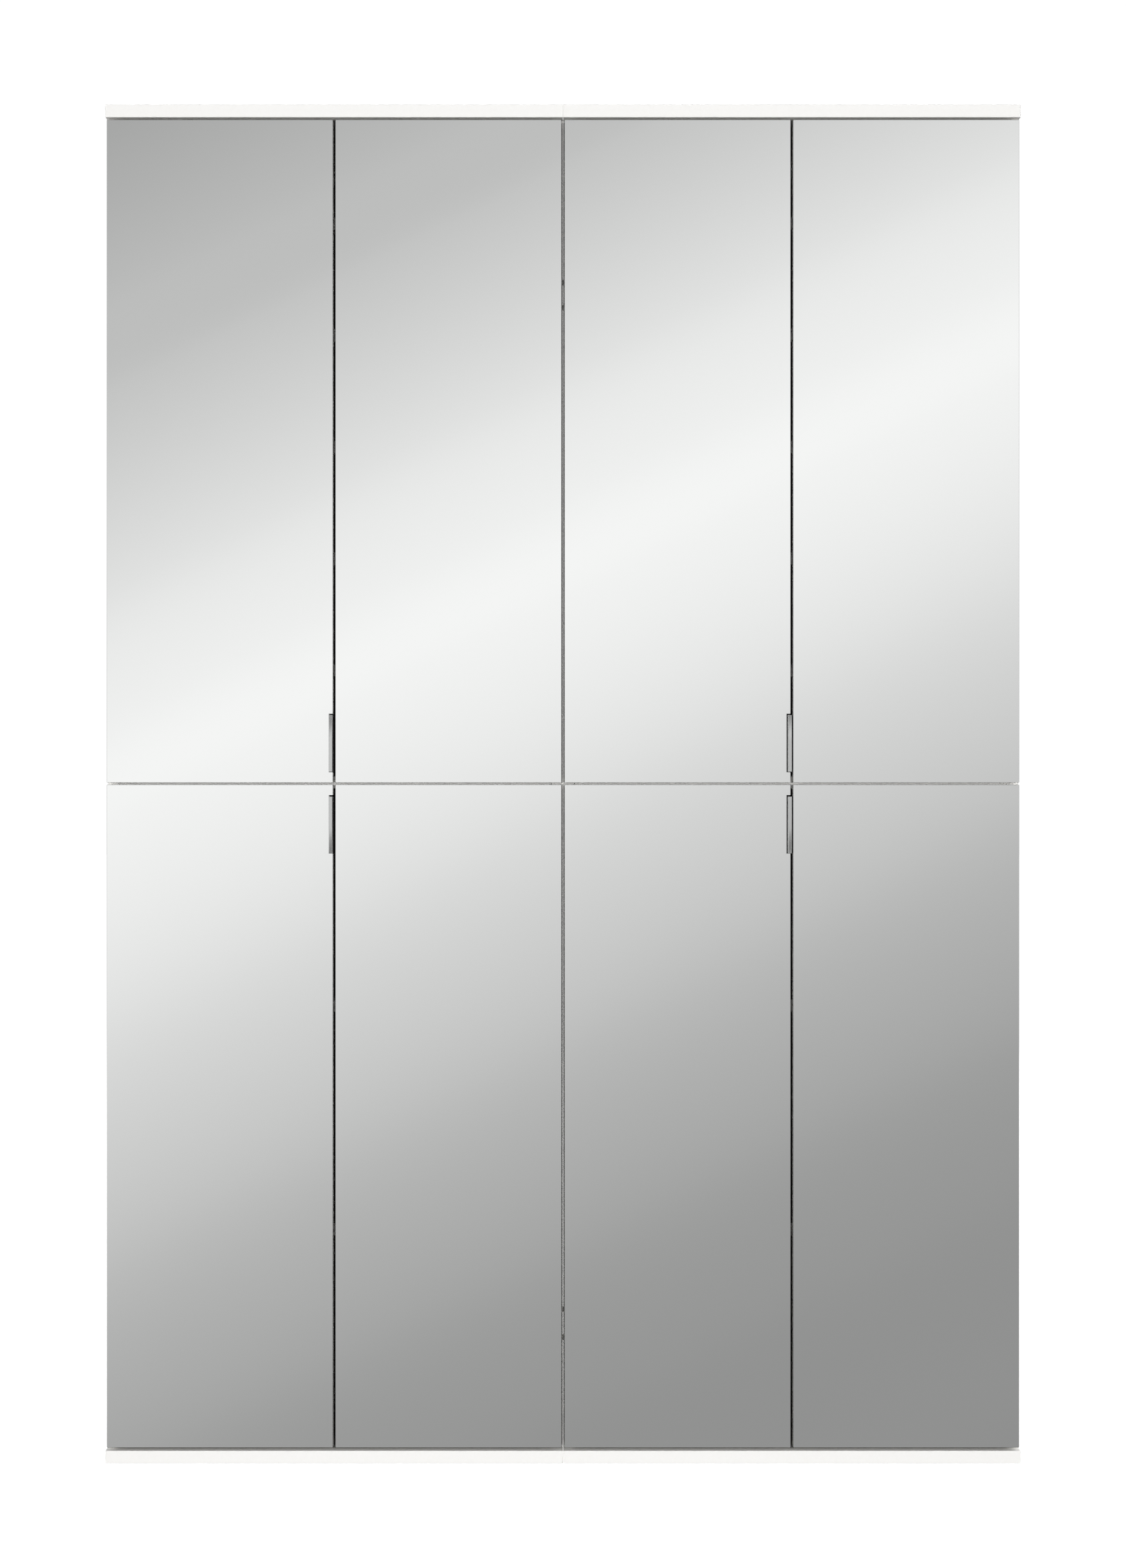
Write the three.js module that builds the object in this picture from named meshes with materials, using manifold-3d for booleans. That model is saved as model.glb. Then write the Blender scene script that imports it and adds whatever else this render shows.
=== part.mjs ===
// Mirror-fronted armoire. Two carcasses stand side by side and are bolted together.
// Each has two upper and two lower mirrored doors on concealed hinges, one fixed middle
// shelf and seven loose shelves. Millimetres, +Z up, doors facing -Y, and the origin on
// the floor under the middle of the armoire's box, handles included.

import * as THREE from "three";
import { mergeVertices } from "three/addons/utils/BufferGeometryUtils.js";
import Module from "manifold-3d";

// Overall sizes
const OVERALL_WIDTH = 1300;
const OVERALL_HEIGHT = 1930;
const BOARD_DEPTH = 350; // top and base boards, front edge to rear edge

// Carcass boards
const BOARD_THICKNESS = 18; // top, base and every shelf
const SIDE_THICKNESS = 16;
const BACK_THICKNESS = 3;
const UNIT_GAP = 0.4; // between the two carcasses
const FIT_GAP = 0.3; // between pieces that are fastened face to face

// Shelves sit in rows of holes of one pitch, counted from the middle shelf
const HOLE_PITCH = 32;
const LOWER_SHELF_COUNT = 2;
const UPPER_SHELF_COUNT = 5;
const MIDDLE_SHELF_RISE = 2; // middle shelf's centre above the middle of the door gap
const SHELF_CLEARANCE = 1; // loose shelf to the sides and to the back
const SHELF_SETBACK = 10; // loose shelf behind the front edges of the sides

// Doors
const DOOR_SETBACK = 3; // mirror face behind the front edges of top and base
const DOOR_TO_CARCASS = 2;
const PANEL_THICKNESS = 16;
const MIRROR_THICKNESS = 4;
const DOOR_REVEAL = 2; // door edge to the outside of its carcass
const DOOR_PAIR_GAP = 3.5; // between the two doors of a carcass
const DOOR_TOP_GAP = 3;
const DOOR_MIDDLE_GAP = 3; // between lower and upper doors
const DOOR_BOTTOM_GAP = 4;

// Concealed hinges: a cup in the door and an arm on the side
const CUP_DIAMETER = 35;
const CUP_DEPTH = 12;
const CUP_EDGE_DISTANCE = 4.5; // rim of the cup to the door's hinge edge
const HINGE_END_DISTANCE = 80; // hinge centre to the end of the door
const ARM_HEIGHT = 16;
const ARM_RISE = 12; // how far the arm stands off the side
const ARM_LENGTH = 60;
const ARM_TAIL = 8; // length of the arm's sloped ends
const ARM_CLEARANCE = 1; // arm's nose behind the closed door
const PLATE_THICKNESS = 2;
const PLATE_HEIGHT = 46;
const PLATE_LENGTH = 18;
const PLATE_START = 28; // plate's front edge behind the front edge of the side

// Handles: a blade that stands in a notch in the free edge of each left-hand door
const HANDLE_HEIGHT = 80.5;
const HANDLE_THICKNESS = 4.8;
const HANDLE_PROJECTION = 20; // in front of the mirror
const HANDLE_OVERHANG = 0.4; // past the door's free edge
const HANDLE_STRAIGHT = 45; // straight part of the blade's front, from its end at the middle
const HANDLE_SWEEP = 16; // degrees that the blade's front has turned back at its far end
const HANDLE_FLANGE_WIDTH = 28;
const HANDLE_FLANGE_THICKNESS = 2;
const NOTCH_SIDE_CLEARANCE = 1.1;
const NOTCH_TOP_CLEARANCE = 1.8;
const NOTCH_END_DISTANCE = 15; // notch to the end of the door at the middle

// Wall brackets and the connectors that hold the two carcasses together
const BRACKET_WIDTH = 40;
const BRACKET_LEG = 30;
const BRACKET_THICKNESS = 2;
const CONNECTOR_DIAMETER = 8;
const CONNECTOR_BORE = 8.6;
const CONNECTOR_HEAD_DIAMETER = 15;
const CONNECTOR_HEAD_THICKNESS = 1.5;
const CONNECTOR_INSET = 40; // centre to the front and rear edges of the side

// Straight segments that stand for round surfaces
const CUP_SEGMENTS = 32;
const BORE_SEGMENTS = 24;
const CONNECTOR_SEGMENTS = 24;
const SWEEP_SEGMENTS = 10;

// Heights worked out from the sizes above
const topUnderside = OVERALL_HEIGHT - BOARD_THICKNESS;
const doorGaps = DOOR_BOTTOM_GAP + DOOR_MIDDLE_GAP + DOOR_TOP_GAP;
const doorHeight = (topUnderside - BOARD_THICKNESS - doorGaps) / 2;
const lowerDoorBottom = BOARD_THICKNESS + DOOR_BOTTOM_GAP;
const upperDoorBottom = lowerDoorBottom + doorHeight + DOOR_MIDDLE_GAP;
const middleShelfZ = upperDoorBottom - DOOR_MIDDLE_GAP / 2 + MIDDLE_SHELF_RISE;
const levels = { lower: lowerDoorBottom, upper: upperDoorBottom };

// Depths
const rearY = (BOARD_DEPTH + HANDLE_PROJECTION - DOOR_SETBACK) / 2;
const boardFrontY = rearY - BOARD_DEPTH;
const doorFrontY = boardFrontY + DOOR_SETBACK;
const doorThickness = MIRROR_THICKNESS + FIT_GAP + PANEL_THICKNESS;
const carcassFrontY = doorFrontY + doorThickness + DOOR_TO_CARCASS;
const backFrontY = rearY - BACK_THICKNESS;
const sideRearY = backFrontY - FIT_GAP;

// Widths
const unitWidth = (OVERALL_WIDTH - UNIT_GAP) / 2;
const doorWidth = (unitWidth - 2 * DOOR_REVEAL - DOOR_PAIR_GAP) / 2;
const clearWidth = unitWidth - 2 * SIDE_THICKNESS;

// Finishes
const whiteMelamine = new THREE.MeshStandardMaterial({ color: 0xf6f6f3, roughness: 0.45, metalness: 0 });
const whiteHardboard = new THREE.MeshStandardMaterial({ color: 0xeeeeea, roughness: 0.6, metalness: 0 });
const silveredGlass = new THREE.MeshStandardMaterial({ color: 0xdfe4e4, roughness: 0.03, metalness: 1 });
const satinAluminium = new THREE.MeshStandardMaterial({ color: 0xa9aaa8, roughness: 0.35, metalness: 1 });
const platedSteel = new THREE.MeshStandardMaterial({ color: 0xb8bab9, roughness: 0.3, metalness: 1 });

const wasm = await Module();
wasm.setup();

// A closed geometry as a solid that can be cut and joined.
function toSolid(geometry) {
  const bare = geometry.clone();
  bare.deleteAttribute("normal");
  bare.deleteAttribute("uv");
  const merged = mergeVertices(bare);
  return new wasm.Manifold(new wasm.Mesh({
    numProp: 3,
    vertProperties: Float32Array.from(merged.attributes.position.array),
    triVerts: Uint32Array.from(merged.index.array),
  }));
}

function toGeometry(solid) {
  const result = solid.getMesh();
  const geometry = new THREE.BufferGeometry();
  geometry.setAttribute("position", new THREE.BufferAttribute(result.vertProperties, 3));
  geometry.setIndex(new THREE.BufferAttribute(result.triVerts, 1));
  geometry.computeVertexNormals();
  return geometry;
}

function cutAway(geometry, cutters) {
  let solid = toSolid(geometry);
  for (const cutter of cutters) {
    solid = solid.subtract(toSolid(cutter));
  }
  return toGeometry(solid);
}

// A rectangular board between two corners, given in either order.
function block(a, b) {
  const box = new THREE.Box3().setFromPoints([new THREE.Vector3(...a), new THREE.Vector3(...b)]);
  const size = box.getSize(new THREE.Vector3());
  const centre = box.getCenter(new THREE.Vector3());
  return new THREE.BoxGeometry(size.x, size.y, size.z).translate(centre.x, centre.y, centre.z);
}

// An outline in plan, given as [x, y] points, standing from z = 0 to z = height.
function standingOutline(points, height) {
  const shape = new THREE.Shape(points.map(([x, y]) => new THREE.Vector2(x, y)));
  return new THREE.ExtrudeGeometry(shape, { depth: height, bevelEnabled: false });
}

function piece(parent, name, geometry, material, x = 0, y = 0, z = 0) {
  const mesh = new THREE.Mesh(geometry, material);
  mesh.name = name;
  mesh.position.set(x, y, z);
  parent.add(mesh);
}

// Heights of the loose shelves' centres, lowest first, on the hole pitch above and
// below the middle shelf.
function shelfHeights() {
  const lowerSpace = (middleShelfZ - BOARD_THICKNESS) / (LOWER_SHELF_COUNT + 1);
  const upperSpace = (topUnderside - middleShelfZ) / (UPPER_SHELF_COUNT + 1);
  const lowerStep = Math.round(lowerSpace / HOLE_PITCH) * HOLE_PITCH;
  const upperStep = Math.round(upperSpace / HOLE_PITCH) * HOLE_PITCH;
  const heights = [];
  for (let n = LOWER_SHELF_COUNT; n > 0; n -= 1) {
    heights.push(middleShelfZ - n * lowerStep);
  }
  for (let n = 1; n <= UPPER_SHELF_COUNT; n += 1) {
    heights.push(middleShelfZ + n * upperStep);
  }
  return heights;
}

// Connectors: one row in the lowest space and one between the two highest shelves.
function connectorPlaces(heights) {
  const low = (BOARD_THICKNESS + heights[0] - BOARD_THICKNESS / 2) / 2;
  const high = (heights.at(-2) + heights.at(-1)) / 2;
  const places = [];
  for (const z of [low, high]) {
    for (const y of [carcassFrontY + CONNECTOR_INSET, sideRearY - CONNECTOR_INSET]) {
      places.push({ y, z });
    }
  }
  return places;
}

const loosePlaces = shelfHeights();
const joiners = connectorPlaces(loosePlaces);

// One carcass in a group at its own middle. outward is -1 on the left and 1 on the right.
function carcass(side, outward) {
  const group = new THREE.Group();
  const half = unitWidth / 2;
  const clearHalf = clearWidth / 2;
  const sideBottom = BOARD_THICKNESS + FIT_GAP;
  const sideTop = topUnderside - FIT_GAP;
  group.position.x = outward * (half + UNIT_GAP / 2);

  const board = block([-half, boardFrontY, 0], [half, rearY, BOARD_THICKNESS]);
  piece(group, `${side}_base_board`, board, whiteMelamine);
  piece(group, `${side}_top_board`, board, whiteMelamine, 0, 0, topUnderside);

  const panel = block([0, carcassFrontY, sideBottom], [SIDE_THICKNESS, sideRearY, sideTop]);
  const bores = joiners.map(({ y, z }) => {
    const radius = CONNECTOR_BORE / 2;
    const bore = new THREE.CylinderGeometry(radius, radius, 3 * SIDE_THICKNESS, BORE_SEGMENTS);
    return bore.rotateZ(Math.PI / 2).translate(SIDE_THICKNESS / 2, y, z);
  });
  const outerX = outward > 0 ? clearHalf : -half;
  const innerX = outward > 0 ? -half : clearHalf;
  piece(group, `${side}_outer_side`, panel, whiteMelamine, outerX);
  piece(group, `${side}_inner_side`, cutAway(panel, bores), whiteMelamine, innerX);

  const back = block([-half, backFrontY, sideBottom], [half, rearY, sideTop]);
  piece(group, `${side}_back_panel`, back, whiteHardboard);

  const middleHalf = clearHalf - FIT_GAP;
  const middle = block([-middleHalf, carcassFrontY, 0], [middleHalf, sideRearY, BOARD_THICKNESS]);
  piece(group, `${side}_middle_shelf`, middle, whiteMelamine, 0, 0, middleShelfZ - BOARD_THICKNESS / 2);

  const looseHalf = clearHalf - SHELF_CLEARANCE;
  const looseFront = carcassFrontY + SHELF_SETBACK;
  const looseRear = backFrontY - SHELF_CLEARANCE;
  const shelf = block([-looseHalf, looseFront, 0], [looseHalf, looseRear, BOARD_THICKNESS]);
  loosePlaces.forEach((z, index) => {
    piece(group, `${side}_shelf_${index + 1}`, shelf, whiteMelamine, 0, 0, z - BOARD_THICKNESS / 2);
  });

  piece(group, `${side}_wall_bracket`, wallBracket(), platedSteel, 0, sideRearY, topUnderside - FIT_GAP);
  return group;
}

// An angle with its corner at the origin: one leg runs forward under the top board,
// the other down the back panel.
function wallBracket() {
  const leg = BRACKET_LEG;
  const thick = BRACKET_THICKNESS;
  const half = BRACKET_WIDTH / 2;
  const forward = block([-half, -leg, -thick], [half, 0, 0]);
  const down = block([-half, -thick, -leg], [half, 0, 0]);
  return toGeometry(toSolid(forward).add(toSolid(down)));
}

// A spool along X: a shank through both inner sides with a flat head at each end.
function connector() {
  const shank = CONNECTOR_DIAMETER / 2;
  const head = CONNECTOR_HEAD_DIAMETER / 2;
  const under = SIDE_THICKNESS + UNIT_GAP / 2 + FIT_GAP;
  const end = under + CONNECTOR_HEAD_THICKNESS;
  const profile = [[0, -end], [head, -end], [head, -under], [shank, -under],
    [shank, under], [head, under], [head, end], [0, end]];
  const points = profile.map(([radius, along]) => new THREE.Vector2(radius, along));
  return new THREE.LatheGeometry(points, CONNECTOR_SEGMENTS).rotateZ(Math.PI / 2);
}

// A hinge arm on the inside of a side: in plan its nose slopes away from the side's
// front edge and its tail slopes down to the side. inward is the direction from the side
// into the carcass, and the origin is on the side's inner face at its front edge.
function hingeArm(inward) {
  const noseY = ARM_CLEARANCE - DOOR_TO_CARCASS;
  const noseX = ARM_RISE / 3;
  const tailX = ARM_RISE * 2 / 3;
  const outline = [[FIT_GAP, ARM_TAIL], [noseX, noseY], [ARM_RISE, noseY],
    [ARM_RISE, ARM_LENGTH - ARM_TAIL], [tailX, ARM_LENGTH], [FIT_GAP, ARM_LENGTH]];
  const turned = inward > 0 ? outline : outline.map(([x, y]) => [-x, y]).reverse();
  const arm = standingOutline(turned, ARM_HEIGHT).translate(0, 0, -ARM_HEIGHT / 2);
  const plate = block(
    [inward * FIT_GAP, PLATE_START, -PLATE_HEIGHT / 2],
    [inward * (FIT_GAP + PLATE_THICKNESS), PLATE_START + PLATE_LENGTH, PLATE_HEIGHT / 2],
  );
  return toGeometry(toSolid(arm).add(toSolid(plate)));
}

// The notch in a door's free edge, cut through panel and mirror.
function notchCutter(notchBottom) {
  const notchWidth = HANDLE_THICKNESS - HANDLE_OVERHANG + NOTCH_SIDE_CLEARANCE;
  const notchHeight = HANDLE_HEIGHT + FIT_GAP + NOTCH_TOP_CLEARANCE;
  return block(
    [doorWidth - notchWidth, -doorThickness, notchBottom],
    [doorWidth + notchWidth, 2 * doorThickness, notchBottom + notchHeight],
  );
}

// An L in plan: the blade passes through the notch and its flange lies behind the door.
// Seen from the side, the blade's front is straight near the middle of the armoire and
// then sweeps back on an arc towards its far end, which is up on the upper doors.
function handle(level) {
  const outer = doorWidth + HANDLE_OVERHANG;
  const inner = outer - HANDLE_THICKNESS;
  const flangeFront = doorThickness + FIT_GAP;
  const flangeRear = flangeFront + HANDLE_FLANGE_THICKNESS;
  const flangeEnd = outer - HANDLE_FLANGE_WIDTH;
  const outline = [[inner, -HANDLE_PROJECTION], [outer, -HANDLE_PROJECTION], [outer, flangeRear],
    [flangeEnd, flangeRear], [flangeEnd, flangeFront], [inner, flangeFront]];
  const angle = standingOutline(outline, HANDLE_HEIGHT);

  const sweep = THREE.MathUtils.degToRad(HANDLE_SWEEP);
  const radius = (HANDLE_HEIGHT - HANDLE_STRAIGHT) / Math.sin(sweep);
  const side = new THREE.Shape();
  side.moveTo(2 * flangeRear, 0);
  side.lineTo(2 * flangeRear, HANDLE_HEIGHT);
  side.absarc(radius - HANDLE_PROJECTION, HANDLE_STRAIGHT, radius, Math.PI - sweep, Math.PI, false);
  side.lineTo(-HANDLE_PROJECTION, 0);
  const points = side.getPoints(SWEEP_SEGMENTS);
  const front = points.map(({ x, y }) => [x, level === "upper" ? y : HANDLE_HEIGHT - y]);
  const swept = standingOutline(front, 2 * doorWidth);
  const outlineX = new THREE.Vector3(0, 1, 0);
  const outlineY = new THREE.Vector3(0, 0, 1);
  const along = new THREE.Vector3(1, 0, 0);
  swept.applyMatrix4(new THREE.Matrix4().makeBasis(outlineX, outlineY, along));
  return toGeometry(toSolid(angle).intersect(toSolid(swept)));
}

// One door in a group at the foot of its hinge axis, which is the front outer edge of
// the door. along is the direction from the hinge edge to the free edge.
function door(name, axisX, along, level, hasHandle) {
  const group = new THREE.Group();
  group.position.set(axisX, doorFrontY, levels[level]);
  const panelFront = MIRROR_THICKNESS + FIT_GAP;
  let panel = block([0, panelFront, 0], [along * doorWidth, doorThickness, doorHeight]);
  let mirror = block([0, 0, 0], [along * doorWidth, MIRROR_THICKNESS, doorHeight]);

  const cupX = along * (CUP_EDGE_DISTANCE + CUP_DIAMETER / 2);
  const cups = [HINGE_END_DISTANCE, doorHeight - HINGE_END_DISTANCE].map((z) => {
    const radius = CUP_DIAMETER / 2;
    const cup = new THREE.CylinderGeometry(radius, radius, 2 * CUP_DEPTH, CUP_SEGMENTS);
    return cup.translate(cupX, doorThickness, z);
  });
  panel = cutAway(panel, cups);

  if (hasHandle) {
    const notchHeight = HANDLE_HEIGHT + FIT_GAP + NOTCH_TOP_CLEARANCE;
    const farEnd = doorHeight - NOTCH_END_DISTANCE - notchHeight;
    const notchBottom = level === "upper" ? NOTCH_END_DISTANCE : farEnd;
    const notch = notchCutter(notchBottom);
    panel = cutAway(panel, [notch]);
    mirror = cutAway(mirror, [notch]);
    piece(group, `${name}_handle`, handle(level), satinAluminium, 0, 0, notchBottom + FIT_GAP);
  }
  piece(group, `${name}_panel`, panel, whiteMelamine);
  piece(group, `${name}_mirror`, mirror, silveredGlass);
  return group;
}

const armoire = new THREE.Group();
armoire.add(carcass("left", -1), carcass("right", 1));

// Doors 1 to 4 from left to right. Odd doors hang on their left edge and carry the
// handle, even doors hang on their right edge.
for (const [pair, outward] of [[0, -1], [1, 1]]) {
  const middleX = outward * (unitWidth + UNIT_GAP) / 2;
  for (const along of [1, -1]) {
    const number = 2 * pair + (along > 0 ? 1 : 2);
    const axisX = middleX - along * (unitWidth / 2 - DOOR_REVEAL);
    const sideFaceX = middleX - along * (clearWidth / 2);
    for (const level of ["upper", "lower"]) {
      const name = `door_${number}_${level}`;
      armoire.add(door(name, axisX, along, level, along > 0));
      const hingeZ = levels[level] + doorHeight - HINGE_END_DISTANCE;
      piece(armoire, `${name}_hinge_arm`, hingeArm(along), platedSteel, sideFaceX, carcassFrontY, hingeZ);
    }
  }
}

joiners.forEach(({ y, z }, index) => {
  piece(armoire, `unit_connector_${index + 1}`, connector(), platedSteel, 0, y, z);
});

export default armoire;
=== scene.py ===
"""Armoire with eight mirror doors, dressed for rendering around its fixed CAD frame.

Boards, doors, mirrors and fittings are surfaces worked out with numpy: an outline
carried through a thickness, or a profile carried round an axis or along a path.
Lengths are metres; MM turns millimetres into them.
"""
import math

import bmesh
import bpy
import numpy as np
from mathutils.geometry import delaunay_2d_cdt
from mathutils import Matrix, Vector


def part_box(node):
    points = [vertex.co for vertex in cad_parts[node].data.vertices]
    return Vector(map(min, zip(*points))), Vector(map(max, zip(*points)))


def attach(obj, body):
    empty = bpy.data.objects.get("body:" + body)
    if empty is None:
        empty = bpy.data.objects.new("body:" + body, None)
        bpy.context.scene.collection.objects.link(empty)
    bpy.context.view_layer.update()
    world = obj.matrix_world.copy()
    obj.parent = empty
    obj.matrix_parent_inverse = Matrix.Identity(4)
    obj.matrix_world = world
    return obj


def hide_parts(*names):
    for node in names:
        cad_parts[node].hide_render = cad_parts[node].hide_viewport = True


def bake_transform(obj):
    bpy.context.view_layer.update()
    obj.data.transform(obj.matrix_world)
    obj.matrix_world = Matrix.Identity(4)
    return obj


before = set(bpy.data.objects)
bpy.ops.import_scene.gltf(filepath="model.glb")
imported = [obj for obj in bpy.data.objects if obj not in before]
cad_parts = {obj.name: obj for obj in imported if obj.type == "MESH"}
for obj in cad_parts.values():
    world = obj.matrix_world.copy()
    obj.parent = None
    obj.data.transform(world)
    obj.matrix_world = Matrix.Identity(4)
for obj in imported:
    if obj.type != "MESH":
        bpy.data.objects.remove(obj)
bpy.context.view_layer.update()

MM = 0.001
X, Y, Z = np.eye(3)

# How boards and fittings are made
BAND_ARRIS = 0.6 * MM  # rounding of edge-banded board edges
GLASS_ARRIS = 0.3 * MM  # ground edge of the mirrors
FLAT_GUARD = 0.3 * MM  # narrow strip that keeps flat faces flat beside a rounding
FACE_MARGIN = 2 * MM  # flat faces are divided this far from their edges and notches
CREASE = math.radians(38)  # edges folded more than this are drawn sharp
CORNER_RADIUS = 1 * MM  # corners of boards and doors, seen square to their faces
HOLE_PITCH = 32 * MM  # spacing of shelf-pin holes
PIN_ROW_INSET = 37 * MM  # rows of shelf-pin holes, from the front and rear edges of a side
PIN_DIAMETER = 5 * MM
PIN_HOLE_DEPTH = 9 * MM
CONNECTOR_BORE = 8.6 * MM
CUP_BORE_DEPTH = 12 * MM
CUP_RADIUS = 17.5 * MM
CUP_EDGE_DISTANCE = 22 * MM  # centre of a hinge cup from the door's hinge edge
HINGE_END_DISTANCE = 80 * MM  # centre of a hinge from the end of its door
NOTCH_END_DISTANCE = 15 * MM  # from the notch to the door's end by the middle shelf
NOTCH_WIDTH = 5.5 * MM
NOTCH_HEIGHT = 82.6 * MM
HANDLE_STRAIGHT = 45 * MM  # height of the straight part of the blade
HANDLE_SWEEP = math.radians(16)  # angle that its front has turned by at the far end

SIDES = {"left": -1, "right": 1}
LEVELS = ("upper", "lower")
LOOSE_SHELVES = range(1, 8)


def box(node):
    """Lowest and highest corner of a CAD node as numpy vectors."""
    low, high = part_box(node)
    return np.array(low), np.array(high)


# ---------------------------------------------------------------- materials

def linear(hex_colour):
    """An sRGB hex colour as linear red, green, blue and alpha."""
    parts = np.array([int(hex_colour[i:i + 2], 16) / 255 for i in (1, 3, 5)])
    toe = parts / 12.92
    curve = ((parts + 0.055) / 1.055) ** 2.4
    return (*np.where(parts <= 0.04045, toe, curve).tolist(), 1.0)


def fill(node, inputs):
    """Sets the named inputs of a node, or links those whose value is a socket."""
    for key, value in inputs.items():
        if isinstance(value, bpy.types.NodeSocket):
            node.id_data.links.new(value, node.inputs[key])
        else:
            node.inputs[key].default_value = value


def add(tree, kind, inputs=(), **settings):
    """Adds a node, sets its properties, and fills or links the named inputs."""
    made = tree.nodes.new(kind)
    for key, value in settings.items():
        setattr(made, key, value)
    fill(made, dict(inputs))
    return made


def blank(name):
    """A new material, its node tree, its Principled shader, and the piece's coordinates."""
    material = bpy.data.materials.new(name)
    material.use_nodes = True
    tree = material.node_tree
    place = add(tree, "ShaderNodeTexCoord").outputs["Object"]
    return material, tree, tree.nodes["Principled BSDF"], place


def per_metre(size):
    """Noise scale that gives features of about the given size."""
    return 1 / size


def melamine_paper():
    """Melamine-faced chipboard: resin paper pressed with a fine pearl grain, so the
    white is satin with a faint unevenness that only shows in grazing light."""
    material, tree, shader, place = blank("melamine_faced_chipboard")
    pearl = add(tree, "ShaderNodeTexNoise", {"Vector": place, "Scale": per_metre(1.2 * MM), "Detail": 2.0})
    cloud = add(tree, "ShaderNodeTexNoise", {"Vector": place, "Scale": per_metre(180 * MM), "Detail": 3.0})
    paper = {"Factor": cloud.outputs["Fac"], "A": linear("#f5f4f1"), "B": linear("#f8f7f5")}
    tone = add(tree, "ShaderNodeMix", paper, data_type="RGBA")
    satin = {"Value": pearl.outputs["Fac"], "To Min": 0.36, "To Max": 0.48}
    gloss = add(tree, "ShaderNodeMapRange", satin)
    grain = {"Height": pearl.outputs["Fac"], "Strength": 0.12, "Distance": 0.05 * MM}
    relief = add(tree, "ShaderNodeBump", grain)
    fill(shader, {"Base Color": tone.outputs["Result"], "Roughness": gloss.outputs["Result"]})
    fill(shader, {"Normal": relief.outputs["Normal"], "IOR": 1.55})
    return material


def abs_edging():
    """ABS edge band, milled flush and scraped: a shade brighter and smoother than the
    paper beside it, with faint marks of the scraper along the band."""
    material, tree, shader, place = blank("abs_edging")
    scrape = add(tree, "ShaderNodeTexNoise", {"Vector": place, "Scale": per_metre(4 * MM), "Detail": 3.0})
    band = {"Factor": scrape.outputs["Fac"], "A": linear("#f6f5f2"), "B": linear("#faf9f7")}
    tone = add(tree, "ShaderNodeMix", band, data_type="RGBA")
    satin = {"Value": scrape.outputs["Fac"], "To Min": 0.28, "To Max": 0.40}
    gloss = add(tree, "ShaderNodeMapRange", satin)
    fill(shader, {"Base Color": tone.outputs["Result"], "Roughness": gloss.outputs["Result"], "IOR": 1.53})
    return material


def bored_chipboard():
    """Chipboard core laid bare in drilled holes: tan wood chips of about 2 mm."""
    material, tree, shader, place = blank("bored_chipboard")
    chips = add(tree, "ShaderNodeTexVoronoi", {"Vector": place, "Scale": per_metre(2 * MM)})
    wood = {"Factor": chips.outputs["Distance"], "A": linear("#b08c5e"), "B": linear("#7d5f3c")}
    tone = add(tree, "ShaderNodeMix", wood, data_type="RGBA")
    fill(shader, {"Base Color": tone.outputs["Result"], "Roughness": 0.9})
    return material


def hardboard_rear():
    """Rear of a hardboard back: brown pressed fibre with the square print of the wire
    screen it was pressed on, drawn at 3 mm so that it shows."""
    material, tree, shader, place = blank("hardboard_rear")
    fibre = add(tree, "ShaderNodeTexNoise", {"Vector": place, "Scale": per_metre(6 * MM), "Detail": 6.0})
    patch = add(tree, "ShaderNodeTexNoise", {"Vector": place, "Scale": per_metre(90 * MM), "Detail": 5.0})
    mixed = {0: patch.outputs["Fac"], 1: 0.35, 2: fibre.outputs["Fac"]}
    blend = add(tree, "ShaderNodeMath", mixed, operation="MULTIPLY_ADD")
    wide = {"Value": blend.outputs["Value"], "From Min": 0.35, "From Max": 1.0}
    spread = add(tree, "ShaderNodeMapRange", wide)
    brown = {"Factor": spread.outputs["Result"], "A": linear("#7c6346"), "B": linear("#a18663")}
    tone = add(tree, "ShaderNodeMix", brown, data_type="RGBA")
    wires = {"Vector": place, "Scale": per_metre(3 * MM) / 20}
    upright, level = [add(tree, "ShaderNodeTexWave", wires, bands_direction=axis) for axis in ("X", "Z")]
    crossed = {0: upright.outputs["Fac"], 1: level.outputs["Fac"]}
    screen = add(tree, "ShaderNodeMath", crossed, operation="MULTIPLY")
    pressed = {"Height": screen.outputs["Value"], "Strength": 0.5, "Distance": 0.2 * MM}
    relief = add(tree, "ShaderNodeBump", pressed)
    fill(shader, {"Base Color": tone.outputs["Result"], "Roughness": 0.75})
    fill(shader, {"Normal": relief.outputs["Normal"]})
    return material


def hardboard_lacquer():
    """Inside of the back: thin white lacquer rolled on hardboard, flat and slightly dull."""
    material, tree, shader, place = blank("hardboard_lacquer")
    roller = add(tree, "ShaderNodeTexNoise", {"Vector": place, "Scale": per_metre(2.5 * MM), "Detail": 3.0})
    white = {"Factor": roller.outputs["Fac"], "A": linear("#efeeea"), "B": linear("#f4f3f0")}
    tone = add(tree, "ShaderNodeMix", white, data_type="RGBA")
    stipple = {"Height": roller.outputs["Fac"], "Strength": 0.2, "Distance": 0.08 * MM}
    relief = add(tree, "ShaderNodeBump", stipple)
    fill(shader, {"Base Color": tone.outputs["Result"], "Roughness": 0.55})
    fill(shader, {"Normal": relief.outputs["Normal"]})
    return material


def silvered_glass():
    """Float glass silvered behind: a clean mirror, a trace cooler than plain silver,
    with a breath of haze where it has been wiped."""
    material, tree, shader, place = blank("silvered_float_glass")
    wiped = add(tree, "ShaderNodeTexNoise", {"Vector": place, "Scale": per_metre(300 * MM), "Detail": 2.0})
    clean = {"Value": wiped.outputs["Fac"], "To Min": 0.0, "To Max": 0.025}
    haze = add(tree, "ShaderNodeMapRange", clean)
    fill(shader, {"Base Color": linear(MIRROR_TINT), "Roughness": haze.outputs["Result"], "Metallic": 1.0})
    return material


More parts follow.
